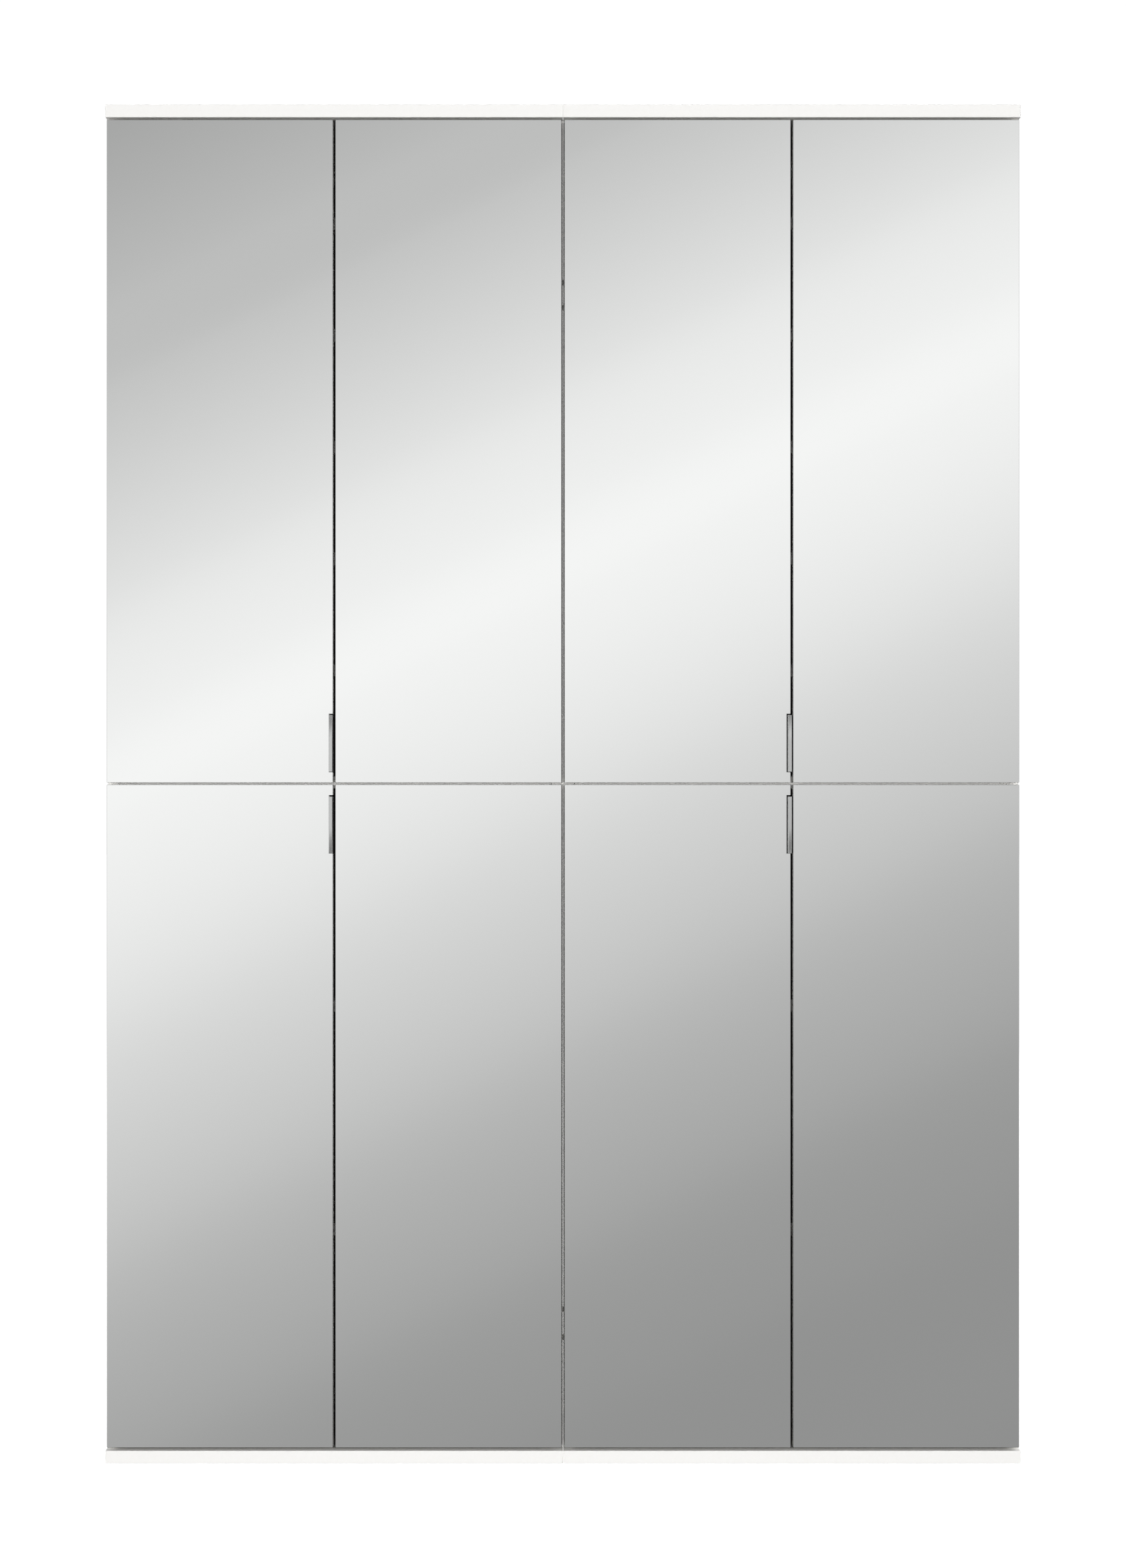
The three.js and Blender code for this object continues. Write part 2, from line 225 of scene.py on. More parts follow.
def ground_glass_edge():
    """Edge of float glass, ground and not polished: green-grey, made dark with painted shade
    that stands in for the light held between the silver and the front and for the shade
    in the gaps between the doors."""
    material, tree, shader, place = blank("ground_glass_edge")
    grit = add(tree, "ShaderNodeTexNoise", {"Vector": place, "Scale": per_metre(0.8 * MM), "Detail": 2.0})
    # painted shade: both greens are darkened so that the gaps between the doors read dark
    green = {"Factor": grit.outputs["Fac"], "A": linear("#1d2522"), "B": linear("#303a36")}
    tone = add(tree, "ShaderNodeMix", green, data_type="RGBA")
    fill(shader, {"Base Color": tone.outputs["Result"], "Roughness": 0.35, "IOR": 1.52})
    return material


def mirror_backing():
    """Grey protective paint sprayed on the rear of the mirrors: dull and faintly mottled."""
    material, tree, shader, place = blank("mirror_backing_paint")
    spray = add(tree, "ShaderNodeTexNoise", {"Vector": place, "Scale": per_metre(1 * MM), "Detail": 2.0})
    grey = {"Factor": spray.outputs["Fac"], "A": linear("#5d6163"), "B": linear("#6d7173")}
    tone = add(tree, "ShaderNodeMix", grey, data_type="RGBA")
    fill(shader, {"Base Color": tone.outputs["Result"], "Roughness": 0.6})
    return material


def metal(name, dark, light, rough, grain, stretch=(1, 1, 1)):
    """A bare or plated metal whose tone and gloss vary with a grain of the given size,
    stretched along the directions in which the real surface was worked."""
    material, tree, shader, place = blank(name)
    worked = add(tree, "ShaderNodeMapping", {"Vector": place, "Scale": stretch}).outputs["Vector"]
    lines = add(tree, "ShaderNodeTexNoise", {"Vector": worked, "Scale": per_metre(grain), "Detail": 3.0})
    shades = {"Factor": lines.outputs["Fac"], "A": linear(dark), "B": linear(light)}
    tone = add(tree, "ShaderNodeMix", shades, data_type="RGBA")
    polish = {"Value": lines.outputs["Fac"], "To Min": rough[0], "To Max": rough[1]}
    gloss = add(tree, "ShaderNodeMapRange", polish)
    scratches = {"Height": lines.outputs["Fac"], "Strength": 0.1, "Distance": 0.04 * MM}
    relief = add(tree, "ShaderNodeBump", scratches)
    fill(shader, {"Base Color": tone.outputs["Result"], "Roughness": gloss.outputs["Result"]})
    fill(shader, {"Normal": relief.outputs["Normal"], "Metallic": 1.0})
    return material


def moulded(name, colour, rough, transmission=0.0, ior=1.5):
    """A small moulded plastic part with the slight orange peel of its tool."""
    material, tree, shader, place = blank(name)
    peel = add(tree, "ShaderNodeTexNoise", {"Vector": place, "Scale": per_metre(1.5 * MM), "Detail": 1.0})
    uneven = {"Value": peel.outputs["Fac"], "To Min": rough, "To Max": rough + 0.1}
    gloss = add(tree, "ShaderNodeMapRange", uneven)
    fill(shader, {"Base Color": linear(colour), "Roughness": gloss.outputs["Result"]})
    fill(shader, {"Transmission Weight": transmission, "IOR": ior})
    return material


MIRROR_TINT = "#f7f8f7"
MELAMINE = melamine_paper()
EDGING = abs_edging()
CHIPBOARD = bored_chipboard()
REAR_BOARD = hardboard_rear()
LACQUER = hardboard_lacquer()
MIRROR = silvered_glass()
GLASS_EDGE = ground_glass_edge()
BACKING = mirror_backing()
# Anodised aluminium brushed along the blade: fine upright lines
ALUMINIUM = metal("brushed_aluminium", "#d9dad9", "#e6e7e6", (0.24, 0.32), 0.5 * MM, (1, 1, 0.02))
# Nickel-plated pressings: bright, warm, slightly uneven from barrel plating
NICKEL = metal("nickel_plated_steel", "#b3b0a9", "#cbc8c1", (0.16, 0.3), 5 * MM)
# Zinc-plated screws and brackets: cooler and duller than nickel
ZINC = metal("zinc_plated_steel", "#a3a7ab", "#bcc0c3", (0.3, 0.45), 4 * MM)
CAP_PLASTIC = moulded("moulded_white_polyethylene", "#f1f0ec", 0.35)
BUMPER = moulded("clear_polyurethane", "#f4f5f3", 0.08, transmission=0.9, ior=1.49)


# ---------------------------------------------------------------- surfaces

def unit(vectors):
    """Vectors scaled to length one."""
    return vectors / np.linalg.norm(vectors, axis=-1, keepdims=True)


def rounded(corners, radius, steps=3):
    """Outline whose outward corners are rounded: at each the curve is the parabola
    (1-s)^2 A + 2 s (1-s) P + s^2 B between points A and B at the radius' distance
    along the two sides, with one guard point beyond each end. Inward corners stay
    sharp. Counter-clockwise."""
    corners = np.asarray(corners, float)
    if turns(corners).sum() < 0:
        corners = corners[::-1]
    back = unit(np.roll(corners, 1, 0) - corners)
    ahead = unit(np.roll(corners, -1, 0) - corners)
    s = np.linspace(0, 1, steps + 1)[:, None]
    outline = []
    for tip, to_last, to_next in zip(corners, back, ahead):
        if to_last[0] * to_next[1] > to_last[1] * to_next[0]:
            outline.append([tip])
            continue
        start, end = tip + radius * to_last, tip + radius * to_next
        outline.append([start + FLAT_GUARD * to_last])
        outline.append((1 - s) ** 2 * start + 2 * s * (1 - s) * tip + s ** 2 * end)
        outline.append([end + FLAT_GUARD * to_next])
    return np.concatenate(outline)


def turns(outline):
    """Twice the signed area that each side of an outline sweeps about the origin."""
    after = np.roll(outline, -1, 0)
    return outline[:, 0] * after[:, 1] - outline[:, 1] * after[:, 0]


def inside(point, outline):
    """True if a ray from the point along the first axis crosses the outline an odd
    number of times."""
    a, b = outline, np.roll(outline, -1, 0)
    spans = (a[:, 1] > point[1]) != (b[:, 1] > point[1])
    a, b = a[spans], b[spans]
    crossing = a[:, 0] + (point[1] - a[:, 1]) * (b[:, 0] - a[:, 0]) / (b[:, 1] - a[:, 1])
    return (crossing > point[0]).sum() % 2 == 1


def rectangle(width, height):
    """Corners of a rectangle whose first corner is the origin."""
    return np.array([[0, 0], [width, 0], [width, height], [0, height]])


def circle(centre, radius, count):
    """Points centre + radius (cos t, sin t) for evenly spaced t."""
    t = np.linspace(0, 2 * np.pi, count, endpoint=False)
    return np.asarray(centre) + radius * np.stack([np.cos(t), np.sin(t)], -1)


def hull_of_discs(discs, count):
    """Convex outline around discs (centre, radius): in each direction n, the point
    centre + radius n of the disc that reaches furthest along n."""
    t = np.linspace(0, 2 * np.pi, count, endpoint=False)
    n = np.stack([np.cos(t), np.sin(t)], -1)
    centres = np.array([disc[0] for disc in discs])
    radii = np.array([disc[1] for disc in discs])
    furthest = (n @ centres.T + radii).argmax(1)
    return centres[furthest] + radii[furthest, None] * n


def mitres(outline):
    """Inward vectors (n1 + n2) / (1 + n1.n2) of the two edges that meet at each point,
    so that moving by them keeps every edge parallel to itself."""
    edge = unit(np.roll(outline, -1, 0) - outline)
    normal = np.stack([-edge[:, 1], edge[:, 0]], -1)
    before = np.roll(normal, 1, 0)
    return (normal + before) / (1 + (normal * before).sum(-1, keepdims=True))


def ring_quads(rings, around, start=0):
    """Quads between neighbouring rings of points, each ring closed on itself."""
    j, i = np.meshgrid(np.arange(rings - 1), np.arange(around), indexing="ij")
    right = (i + 1) % around
    low, high = j * around, (j + 1) * around
    quads = np.stack([low + i, low + right, high + right, high + i], -1)
    return (quads.reshape(-1, 4) + start).tolist()


def quarter_round(radius):
    """Inset a (1 - sin f) and depth a (1 - cos f) of the rows of a rounding of radius a."""
    f = np.linspace(0, np.pi / 2, 4)
    return radius * (1 - np.sin(f)), radius * (1 - np.cos(f))


def placed(name, data):
    """A new object that holds the data, linked into the scene."""
    made = bpy.data.objects.new(name, data)
    bpy.context.scene.collection.objects.link(made)
    return made


class Piece:
    """Points and faces of one object, gathered from several shells. paint holds the
    number of each face's material, smooth says which faces belong to a curved surface,
    and planes are those at which large flat faces are divided."""

    def __init__(self):
        self.points, self.faces, self.paint, self.smooth, self.planes = [], [], [], [], []
        self.count = 0

    def shell(self, points):
        """Adds points and gives the number of the first one."""
        start = self.count
        self.points.append(np.asarray(points).reshape(-1, 3))
        self.count += len(self.points[-1])
        return start

    def cover(self, faces, paint, smooth=False):
        """Adds faces, each a list of point numbers."""
        self.faces += faces
        self.paint += [paint] * len(faces)
        self.smooth += [smooth] * len(faces)

    def slab(self, outline, thickness, origin, axes, arris, holes=(), paint=(0, 0, 1, 2)):
        """A plate: the outline in the plane of the first two axes, carried along the
        third from its near to its far face, with a quarter round at both. Each hole is
        (centre, radius, depth) from the far face, or through both faces if it is as deep
        as the plate. paint names the materials of near face, far face, edge and holes."""
        u, v, w = axes
        near_paint, far_paint, edge_paint, hole_paint = paint
        inset, depth = quarter_round(arris)
        inset = np.append(inset, 0)
        depth = np.append(depth, arris + FLAT_GUARD)
        inset = np.concatenate([inset, inset[::-1]])
        depth = np.concatenate([depth, (thickness - depth)[::-1]])
        flat = outline + inset[:, None, None] * mitres(outline)

        def place(points, at):
            return origin + points[..., :1] * u + points[..., 1:] * v + at[:, None, None] * w

        around = len(outline)
        start = self.shell(place(flat, depth))
        self.cover(ring_quads(len(depth), around, start), edge_paint, smooth=True)
        far_start = start + (len(depth) - 1) * around
        near = [(flat[0], list(range(start, start + around)))]
        far = [(flat[-1], list(range(far_start, far_start + around)))]
        for centre, radius, deep in holes:
            rim = circle(centre, radius, 32 if radius > 10 * MM else 12)
            through = deep >= thickness
            floor = 0 if through else thickness - deep
            first = self.shell(place(np.stack([rim, rim]), np.array([thickness, floor])))
            self.cover(ring_quads(2, len(rim), first), hole_paint, smooth=True)
            bottom = list(range(first + len(rim), first + 2 * len(rim)))
            far.append((rim, list(range(first, first + len(rim)))))
            if through:
                near.append((rim, bottom))
            else:
                self.cover([bottom], hole_paint)
        self.cap(near, near_paint)
        self.cap(far, far_paint)

    def cap(self, loops, paint):
        """Flat face inside the first loop and outside the others: a Delaunay net of
        triangles that keeps every loop. Triangles that touch one loop only lie in a
        hole, or they belong to the outline and may lie in a notch."""
        if len(loops) == 1:
            self.cover([loops[0][1]], paint)
            return
        index = [i for _, ids in loops for i in ids]
        owner = [number for number, (_, ids) in enumerate(loops) for _ in ids]
        flat = np.concatenate([points for points, _ in loops])
        sides, first = [], 0
        for points, _ in loops:
            ends = np.arange(first, first + len(points))
            sides += np.stack([ends, np.roll(ends, -1)], -1).tolist()
            first += len(points)
        _, _, triangles, origins, _, _ = delaunay_2d_cdt(flat.tolist(), sides, [], 0, 1e-9)
        kept = []
        for triangle in triangles:
            source = [origins[i][0] for i in triangle]
            owners = {owner[i] for i in source}
            if len(owners) > 1 or owners == {0} and inside(np.mean(flat[source], 0), loops[0][0]):
                kept.append([index[i] for i in source])
        self.cover(kept, paint)

    def loft(self, rings, paint=0):
        """Surface through a row of rings of points, with a flat face at both ends."""
        count, around = rings.shape[:2]
        start = self.shell(rings)
        last = start + (count - 1) * around
        self.cover(ring_quads(count, around, start), paint, smooth=True)
        self.cover([list(range(start, start + around)), list(range(last, last + around))], paint)

    def divide(self, origin, axis, places):
        """Notes planes square to an axis at which large flat faces are divided, so that
        they consist of clean rectangles beside small corner pieces."""
        self.planes += [(origin + place * axis, axis) for place in places]

    def turned(self, profile, origin, axis, paint=0, around=24, tube=False):
        """Surface of revolution: each (distance along the axis, radius) of the profile is
        carried round the axis. The first and last rings are closed with discs, or joined
        to each other if the profile is the section of a tube."""
        profile = np.asarray(profile, float)
        axis = np.asarray(axis, float)
        side = np.cross(axis, X if abs(axis[0]) < 0.5 else Z)
        other = np.cross(axis, side)
        t = np.linspace(0, 2 * np.pi, around, endpoint=False)[None, :, None]
        round_about = np.cos(t) * side + np.sin(t) * other
        points = origin + profile[:, :1, None] * axis + profile[:, 1:, None] * round_about
        if tube:
            rings = len(profile)
            quads = np.array(ring_quads(rings + 1, around)) % (rings * around)
            self.cover((quads + self.shell(points)).tolist(), paint, smooth=True)
        else:
            self.loft(points, paint)

    def ribbon(self, path, width, thickness, across):
        """A strap: a rounded rectangle of the given width and thickness carried along a
        path, always square to the path, with its width along the across direction."""
        path = np.asarray(path, float)
        along = unit(np.gradient(path, axis=0))
        out = np.cross(along, across)
        section = rounded(rectangle(width, thickness), thickness / 3, 2) - [width / 2, thickness / 2]
        points = path[:, None] + section[None, :, :1] * across + section[None, :, 1:] * out[:, None]
        self.loft(points)

    def build(self, name, materials, body=None, replaces=()):
        """The finished object, its faces turned outwards, riding on its body."""
        mesh = bpy.data.meshes.new(name)
        mesh.from_pydata(np.concatenate(self.points).tolist(), [], self.faces)
        for material in materials:
            mesh.materials.append(material)
        mesh.polygons.foreach_set("material_index", self.paint)
        mesh.polygons.foreach_set("use_smooth", self.smooth)
        work = bmesh.new()
        work.from_mesh(mesh)
        bmesh.ops.recalc_face_normals(work, faces=work.faces)
        for point, axis in self.planes:
            everything = [*work.verts, *work.edges, *work.faces]
            bmesh.ops.bisect_plane(work, geom=everything, dist=1e-6, plane_co=point, plane_no=axis)
        for edge in work.edges:
            folded = edge.calc_face_angle(0) > CREASE
            rim_of_flat = len({face.smooth for face in edge.link_faces}) > 1
            edge.smooth = not (folded or rim_of_flat)
        for face in work.faces:
            face.smooth = True
        work.to_mesh(mesh)
        work.free()
        piece = placed(name, mesh)
        if body:
            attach(piece, body)
        if replaces:
            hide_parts(*replaces)
        return piece


# ---------------------------------------------------------------- screws and small turned parts

def dome(radius, height, start, steps):
    """Profile of a low dome: radius cos f at start + height sin f."""
    f = np.linspace(0, 1.45, steps)
    return np.stack([start + height * np.sin(f), radius * np.cos(f)], -1)


def screw_head(piece, at, axis, radius=3.2 * MM, height=1.4 * MM, paint=0):
    """Pan head: a low dome whose middle drops to a round recess for the driver."""
    rim = np.array([[0, radius * 0.96], [height * 0.35, radius]])
    top = dome(radius, height * 0.65, height * 0.35, 5)[1:3]
    recess = np.array([[height * 0.92, radius * 0.42], [height * 0.25, radius * 0.3]])
    piece.turned(np.concatenate([rim, top, recess]), at, axis, paint, around=18)


# ---------------------------------------------------------------- carcass boards

BOARD_PAINT = [MELAMINE, EDGING, CHIPBOARD]
ONE_METAL = (0, 0, 0, 0)


def flat_board(node):
    """Board with no drilling: top, base, middle shelf and loose shelves."""
    low, high = box(node)
    width, depth, thickness = high - low
    piece = Piece()
    for axis, length in ((X, width), (Y, depth)):
        piece.divide(low, axis, (FACE_MARGIN, length - FACE_MARGIN))
    outline = rounded(rectangle(width, depth), CORNER_RADIUS)
    piece.slab(outline, thickness, low, (X, Y, Z), BAND_ARRIS)
    piece.build(f"{node}_finished", BOARD_PAINT, "carcass", [node])


def inner_face(side, end):
    """Place along X of the inner face of a carcass side, and the direction from there
    into the carcass."""
    low, high = box(f"{side}_{end}_side")
    inward = -SIDES[side] if end == "outer" else SIDES[side]
    return high[0] if inward > 0 else low[0], inward * X


def pin_heights(side):
    """Heights of the shelf-pin holes: every hole pitch above and below the pins of the
    middle shelf, without the holes beside that shelf and near the ends of the side."""
    low, high = box(f"{side}_outer_side")
    pin_z = box(f"{side}_middle_shelf")[0][2] - PIN_DIAMETER / 2
    end_margin = 60 * MM
    steps = np.arange(-40, 41)
    heights = pin_z + steps * HOLE_PITCH
    within = (heights > low[2] + end_margin) & (heights < high[2] - end_margin)
    near_middle = np.abs(heights - pin_z) < 1.5 * HOLE_PITCH
    return heights[within & ~near_middle]


def pin_rows(side):
    """Distances of the two rows of pin holes along Y."""
    low, high = box(f"{side}_outer_side")
    return low[1] + PIN_ROW_INSET, high[1] - PIN_ROW_INSET


def drilled_side(side, which):
    """Side of a carcass: its inner face has two rows of shelf-pin holes, and an inner
    side also has the four through holes of the connectors."""
    node = f"{side}_{which}_side"
    low, high = box(node)
    thickness = high[0] - low[0]
    face, inward = inner_face(side, which)
    start = np.array([face, low[1], low[2]]) - thickness * inward
    bores = []
    if which == "inner":
        for number in range(1, 5):
            a, b = box(f"unit_connector_{number}")
            bores.append(((a + b) / 2 - low)[1:])
    pins = [np.array([y, z]) - low[1:] for y in pin_rows(side) for z in pin_heights(side)]
    free = [pin for pin in pins if all(math.dist(pin, bore) > 2 * CONNECTOR_BORE for bore in bores)]
    holes = [(pin, PIN_DIAMETER / 2, PIN_HOLE_DEPTH) for pin in free]
    holes += [(bore, CONNECTOR_BORE / 2, thickness) for bore in bores]
    piece = Piece()
    outline = rounded(rectangle(high[1] - low[1], high[2] - low[2]), CORNER_RADIUS)
    piece.slab(outline, thickness, start, (Y, Z, inward), BAND_ARRIS, holes)
    piece.build(f"{node}_finished", BOARD_PAINT, "carcass", [node])


def shelf_pins(side):
    """Four nickel pins under each loose shelf: a shank in the hole, a collar against the
    side and a stub that carries the shelf."""
    piece = Piece()
    shank, collar = PIN_DIAMETER / 2 - 0.1 * MM, 3.6 * MM
    pin = [
        [-7 * MM, shank * 0.8], [-6.4 * MM, shank], [0.1 * MM, shank], [0.1 * MM, shank * 1.2],
        [0.9 * MM, shank * 1.2], [0.9 * MM, shank], [8 * MM, shank], [8.6 * MM, shank * 0.8],
    ]
    stop = [[0.1 * MM, collar * 0.6], [0.5 * MM, collar * 0.66], [0.9 * MM, collar * 0.6]]
    for end in ("outer", "inner"):
        face, inward = inner_face(side, end)
        for number in LOOSE_SHELVES:
            z = box(f"{side}_shelf_{number}")[0][2] - PIN_DIAMETER / 2 - 0.1 * MM
            for y in pin_rows(side):
                at = np.array([face, y, z])
                piece.turned(pin, at, inward, around=12)
                piece.turned(stop, at - 0.6 * MM * Z, inward, around=12)
    piece.build(f"{side}_shelf_pins", [NICKEL], "carcass")


def cam_covers(side):
    """White caps over the cam fittings: on both sides near the top and base boards, and
    under the middle shelf at its four corners. Each is a low dome of 17 mm."""
    piece = Piece()
    from_end, from_edge = 34 * MM, 60 * MM
    cap = np.concatenate([[[0.05 * MM, 8.5 * MM]], dome(8.5 * MM, 0.9 * MM, 0.3 * MM, 6)])
    for end in ("outer", "inner"):
        low, high = box(f"{side}_{end}_side")
        face, inward = inner_face(side, end)
        for z in (low[2] + from_end, high[2] - from_end):
            for y in (low[1] + from_edge, high[1] - from_edge):
                piece.turned(cap, np.array([face, y, z]), inward)
    low, high = box(f"{side}_middle_shelf")
    for x in (low[0] + from_end, high[0] - from_end):
        for y in (low[1] + from_edge, high[1] - from_edge):
            piece.turned(cap, np.array([x, y, low[2]]), -Z)
    piece.build(f"{side}_cam_covers", [CAP_PLASTIC], "carcass")


def back_panel(side):
    """Hardboard back with square edges, lacquered inside and raw behind, let in by half a
    millimetre, and its flat nail heads along the edges and the middle shelf."""
    node = f"{side}_back_panel"
    low, high = box(node)
    sunk = 0.5 * MM
    thickness = high[1] - low[1] - sunk
    piece = Piece()
    outline = rounded(rectangle(high[0] - low[0], high[2] - low[2]), 0.6 * MM)
    piece.slab(outline, thickness, low, (X, Z, Y), 0.2 * MM, paint=(0, 1, 1, 1))
    piece.build(f"{node}_finished", [LACQUER, REAR_BOARD], "carcass", [node])

    nails = Piece()
    edge, spacing = 8 * MM, 110 * MM
    heights = np.linspace(low[2] + edge, high[2] - edge, round((high[2] - low[2]) / spacing))
    across = np.linspace(low[0] + edge, high[0] - edge, round((high[0] - low[0]) / spacing))
    shelf_low, shelf_high = box(f"{side}_middle_shelf")
    places = [(x, z) for x in (across[0], across[-1]) for z in heights]
    places += [(x, (shelf_low[2] + shelf_high[2]) / 2) for x in across[1:-1]]
    head = [[-0.3 * MM, 1.2 * MM], [0.02 * MM, 2.6 * MM], [0.25 * MM, 2.8 * MM], [0.42 * MM, 2.3 * MM]]
    for x, z in places:
        nails.turned(head, np.array([x, high[1] - sunk, z]), Y, around=12)
    nails.build(f"{side}_back_nails", [ZINC], "carcass")


def wall_bracket(side):
    """Angle bracket bent from strip, with two screws in each leg."""
    node = f"{side}_wall_bracket"
    low, high = box(node)
    leg, thick = high[1] - low[1], 2 * MM
    bend = [[0, 0], [leg, 0], [leg, -leg], [leg - thick, -leg], [leg - thick, -thick], [0, -thick]]
    piece = Piece()
    start = np.array([low[0], low[1], high[2]])
    piece.slab(rounded(bend, 0.5 * MM), high[0] - low[0], start, (Y, Z, X), 0.3 * MM, paint=ONE_METAL)
    middle = (low[0] + high[0]) / 2
    reach = leg * 0.45
    for x in (middle - 11 * MM, middle + 11 * MM):
        screw_head(piece, np.array([x, low[1] + reach, high[2] - thick]), -Z)
        screw_head(piece, np.array([x, high[1] - thick, high[2] - leg + reach]), -Y)
    piece.build(f"{node}_finished", [ZINC], "carcass", [node])


def unit_connector(number):
    """Two-part connector bolt through both inner sides: a sleeve with a flat domed head
    at each end, each head with a sunk recess."""
    node = f"unit_connector_{number}"
    low, high = box(node)
    centre, half = (low + high) / 2, (high[0] - low[0]) / 2
    head, shank, thick = (high[2] - low[2]) / 2, 4 * MM, 1.5 * MM
    arch = [
        [half - thick * 0.1, head * 0.3], [half, head * 0.36], [half - thick * 0.15, head * 0.8],
        [half - thick * 0.5, head], [half - thick, head], [half - thick, shank],
    ]
    sunk = [half - thick * 0.9, head * 0.25]
    right = np.array([sunk, *arch])
    piece = Piece()
    piece.turned(np.concatenate([right * [-1, 1], right[::-1]]), centre, X)
    piece.build(f"{node}_finished", [ZINC], "carcass", [node])


# ---------------------------------------------------------------- doors

class Door:
    """Places shared by the pieces of one door, from its CAD nodes. inward points from the
    hinge edge to the free edge."""

    def __init__(self, number, level):
        self.name = f"door_{number}_{level}"
        self.level = level
        self.has_handle = number % 2 == 1
        self.inward = X if self.has_handle else -X
        self.panel_low, self.panel_high = box(f"{self.name}_panel")
        self.mirror_low, self.mirror_high = box(f"{self.name}_mirror")
        self.hinge_x = (self.panel_low if self.has_handle else self.panel_high)[0]
        self.bottom = self.panel_low[2]
        self.width, _, self.height = self.panel_high - self.panel_low
        self.back_y = self.panel_high[1]

    def outline(self):
        """Door outline from its hinge edge, with the notch for the handle if it has one."""
        width, height = self.width, self.height
        if not self.has_handle:
            return rounded(rectangle(width, height), CORNER_RADIUS)
        low, high = self.notch()
        inner = width - NOTCH_WIDTH
        corners = [
            [0, 0], [width, 0], [width, low], [inner, low], [inner, high], [width, high],
            [width, height], [0, height],
        ]
        return rounded(corners, CORNER_RADIUS)

    def notch(self):
        """Lowest and highest point of the notch above the door's bottom."""
        if self.level == "upper":
            low = NOTCH_END_DISTANCE
        else:
            low = self.height - NOTCH_END_DISTANCE - NOTCH_HEIGHT
        return low, low + NOTCH_HEIGHT

    def divide_face(self, piece, start):
        """Divides the door's flat faces beside its edges and at its notch."""
        across = [FACE_MARGIN, self.width - FACE_MARGIN]
        upwards = [FACE_MARGIN, self.height - FACE_MARGIN]
        if self.has_handle:
            across.append(self.width - NOTCH_WIDTH)
            upwards += self.notch()
        piece.divide(start, self.inward, across)
        piece.divide(start, Z, upwards)

    def hinge_heights(self):
        """Heights of the bottom and top hinge."""
        return self.bottom + HINGE_END_DISTANCE, self.bottom + self.height - HINGE_END_DISTANCE

    def cup_centre(self, z):
        """Centre of a hinge cup on the rear of the panel."""
        return np.array([self.hinge_x, self.back_y, z]) + CUP_EDGE_DISTANCE * self.inward

    def panel(self):
        """Edge-banded panel, bored behind for its two hinge cups."""
        places = [(CUP_EDGE_DISTANCE, z - self.bottom) for z in self.hinge_heights()]
        holes = [(place, CUP_RADIUS, CUP_BORE_DEPTH) for place in places]
        start = np.array([self.hinge_x, self.panel_low[1], self.bottom])
        thickness = self.panel_high[1] - self.panel_low[1]
        piece = Piece()
        piece.slab(self.outline(), thickness, start, (self.inward, Z, Y), BAND_ARRIS, holes)
        self.divide_face(piece, start)
        node = f"{self.name}_panel"
        piece.build(f"{node}_finished", BOARD_PAINT, self.name, [node])

    def mirror(self):
        """Mirror the size of the panel, with a ground quarter-round along its edges."""
        start = np.array([self.hinge_x, self.mirror_high[1], self.bottom])
        thickness = self.mirror_high[1] - self.mirror_low[1]
        piece = Piece()
        axes = (self.inward, Z, -Y)
        piece.slab(self.outline(), thickness, start, axes, GLASS_ARRIS, paint=(2, 0, 1, 1))
        self.divide_face(piece, start)
        node = f"{self.name}_mirror"
        paints = [MIRROR, GLASS_EDGE, BACKING]
        piece.build(f"{node}_finished", paints, self.name, [node])

    def handle(self):
        """Blade and flange in one: an L in plan carried upwards. The blade's front lies at
        the full reach along its straight part and then moves back by R (1 - cos f), the
        arc that has turned by the sweep angle at its far end."""
        node = f"{self.name}_handle"
        low, high = box(node)
        blade, flange = 4.8 * MM, 2 * MM
        inner = high[0] - blade
        corners = [
            [inner, low[1]], [high[0], low[1]], [high[0], high[1]], [low[0], high[1]],
            [low[0], high[1] - flange], [inner, high[1] - flange],
        ]
        outline = rounded(corners, 0.5 * MM)
        height = high[2] - low[2]
        radius = (height - HANDLE_STRAIGHT) / math.sin(HANDLE_SWEEP)
        end = 0.3 * MM
        tip_inset, tip_depth = quarter_round(end)
        middle = np.linspace(end + FLAT_GUARD, height - end - FLAT_GUARD, 28)
        rise = np.concatenate([tip_depth, middle, height - tip_depth[::-1]])
        inset = np.concatenate([tip_inset, np.zeros(len(middle)), tip_inset[::-1]])
        swept = np.maximum(rise - HANDLE_STRAIGHT, 0)
        retreat = radius * (1 - np.cos(np.arcsin(swept / radius)))
        flat = outline + inset[:, None, None] * mitres(outline)
        in_front = flat[..., 1] < self.mirror_low[1] - 1 * MM
        flat[..., 1] += in_front * retreat[:, None]
        if self.level == "upper":
            z = low[2] + rise
        else:
            z = high[2] - rise
        heights = np.broadcast_to(z[:, None, None], (*flat.shape[:2], 1))
        piece = Piece()
        piece.loft(np.concatenate([flat, heights], -1))
        for share in (0.2, 0.8):
            at = np.array([low[0] + 9 * MM, high[1], low[2] + share * height])
            screw_head(piece, at - 0.3 * MM * Y, Y, radius=2.6 * MM, height=1.1 * MM, paint=1)
        piece.build(f"{node}_finished", [ALUMINIUM, ZINC], self.name, [node])

    def bumper(self):
        """Clear stick-on bumper at the free corner by the middle shelf: a low dome."""
        middle_z = self.bottom if self.level == "upper" else self.bottom + self.height
        inset = 5.5 * MM if self.level == "upper" else -3.2 * MM
        corner = np.array([self.hinge_x, self.back_y, middle_z + inset])
        at = corner + (self.width - 24 * MM) * self.inward
        piece = Piece()
        profile = np.concatenate([[[0.02 * MM, 3 * MM]], dome(3 * MM, 1.4 * MM, 0.3 * MM, 6)])
        piece.turned(profile, at, Y, around=20)
        piece.build(f"{self.name}_bumper", [BUMPER], self.name)

